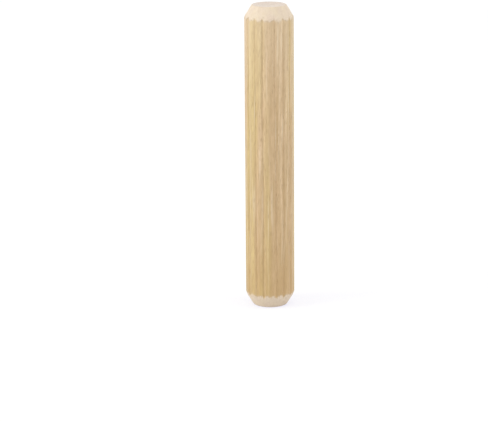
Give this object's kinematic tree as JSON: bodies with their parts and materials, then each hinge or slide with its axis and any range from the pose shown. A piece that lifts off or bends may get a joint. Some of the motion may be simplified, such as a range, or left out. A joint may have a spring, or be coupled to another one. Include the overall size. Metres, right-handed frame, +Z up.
{
  "type": "dowel pin",
  "caption": "Straight wooden dowel pin with V flutes along its whole length and a chamfered, slightly hollowed end at top and bottom.",
  "frame": {"origin": "centre of the foot, in the plane of its flat rim", "axes": "+Z up along the pin's axis; X and Y cross the lands between flutes"},
  "size_m": [0.008, 0.008, 0.05],
  "materials": {
    "pale_wood": "bare, straight-grained wood as it leaves the cutter, with paler sawn ends"
  },
  "bodies": {
    "root": {"dowel_pin": "pale_wood"}
  },
  "joints": []
}
